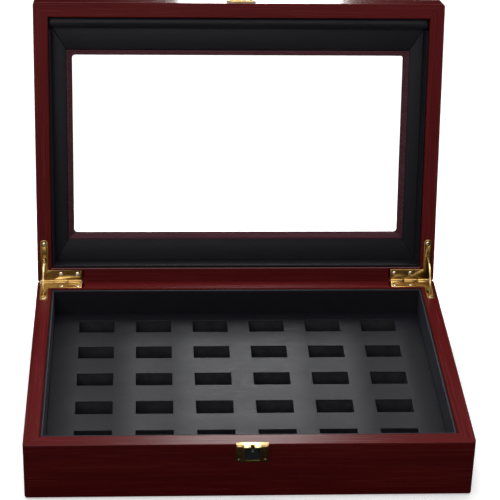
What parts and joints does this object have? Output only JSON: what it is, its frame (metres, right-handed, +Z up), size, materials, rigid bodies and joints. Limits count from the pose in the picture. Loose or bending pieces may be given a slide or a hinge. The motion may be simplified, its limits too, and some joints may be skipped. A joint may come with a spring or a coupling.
{
  "type": "coin display case",
  "caption": "Hinged wooden display case: window lid held open by brass quadrant hinges, over a black slotted tray; front catch with a push button and hasp.",
  "frame": {"origin": "centre of the base's underside, on the surface it stands on", "axes": "+Z up, +X along the case, +Y towards the hinges"},
  "size_m": [0.36, 0.3423, 0.3003],
  "materials": {
    "cherry_wood": "deep red stained cherry under gloss lacquer",
    "cherry_bead": "red stained wood under satin lacquer",
    "window_glass": "clear, polished",
    "black_lining": "black leatherette on card, fine grain",
    "black_leatherette": "black leatherette, fine grain with a soft sheen",
    "black_foam": "black foam, matte",
    "tray_card": "black card, matte",
    "bottom_board": "stained plywood, satin",
    "base_felt": "black felt",
    "brass": "polished and lacquered",
    "black_button": "black, glossy",
    "spring_steel": "bright strip"
  },
  "bodies": {
    "base": {"base_back_liner": "black_lining", "base_back_rail": "cherry_wood", "base_bottom_panel": "bottom_board", "base_felt": "base_felt", "base_front_liner": "black_lining", "base_front_rail": "cherry_wood", "base_left_liner": "black_lining", "base_left_rail": "cherry_wood", "base_right_liner": "black_lining", "base_right_rail": "cherry_wood", "catch_housing": "brass", "catch_nails": "brass", "catch_spring": "spring_steel", "foam_row_strips": "black_foam", "foam_slot_spacers": "black_foam", "hinge_base_screws": "brass", "hinge_left_base_leaf": "brass", "hinge_left_pin": "brass", "hinge_right_base_leaf": "brass", "hinge_right_pin": "brass", "tray_board": "tray_card", "tray_cover": "black_leatherette"},
    "lid": {"hasp_nails": "brass", "hasp_pin": "brass", "hasp_plate": "brass", "hinge_left_lid_leaf": "brass", "hinge_lid_screws": "brass", "hinge_right_lid_leaf": "brass", "lid_back_liner": "black_lining", "lid_back_rail": "cherry_wood", "lid_front_pad": "black_lining", "lid_front_rail": "cherry_wood", "lid_inner_frame": "black_lining", "lid_left_liner": "black_lining", "lid_left_rail": "cherry_wood", "lid_right_liner": "black_lining", "lid_right_rail": "cherry_wood", "lid_window_back": "cherry_wood", "lid_window_front": "cherry_wood", "lid_window_left": "cherry_wood", "lid_window_right": "cherry_wood", "window_bead": "cherry_bead", "window_pane": "window_glass"},
    "stay_left": {"hinge_left_stay": "brass"},
    "stay_right": {"hinge_right_stay": "brass"},
    "button": {"catch_button": "black_button"},
    "hasp": {"hasp_flap": "brass"}
  },
  "joints": [
    {"name": "lid_hinge", "type": "hinge", "parent": "base", "child": "lid", "pos_m": [0, 0.127, 0.05125], "axis": [1, 0, 0], "range_deg": [0, 103]},
    {"name": "stay_left_swing", "type": "hinge", "parent": "base", "child": "stay_left", "pos_m": [0, 0.127, 0.05125], "axis": [1, 0, 0], "range_deg": [0, 51.5]},
    {"name": "stay_right_swing", "type": "hinge", "parent": "base", "child": "stay_right", "pos_m": [0, 0.127, 0.05125], "axis": [1, 0, 0], "range_deg": [0, 51.5]},
    {"name": "button_press", "type": "slide", "parent": "base", "child": "button", "axis": [0, 1, 0], "range_m": [0, 0.0016], "stiffness_N_per_m": 400, "springref_m": -0.0015, "deforming": ["catch_spring"]},
    {"name": "hasp_swing", "type": "hinge", "parent": "lid", "child": "hasp", "pos_m": [0.0013, 0.19553, 0.29898], "axis": [1, 0, 0], "range_deg": [0, 180]}
  ],
  "couplings": [
    {"joint": "stay_left_swing", "follows": "lid_hinge", "ratio": 0.5},
    {"joint": "stay_right_swing", "follows": "lid_hinge", "ratio": 0.5}
  ]
}
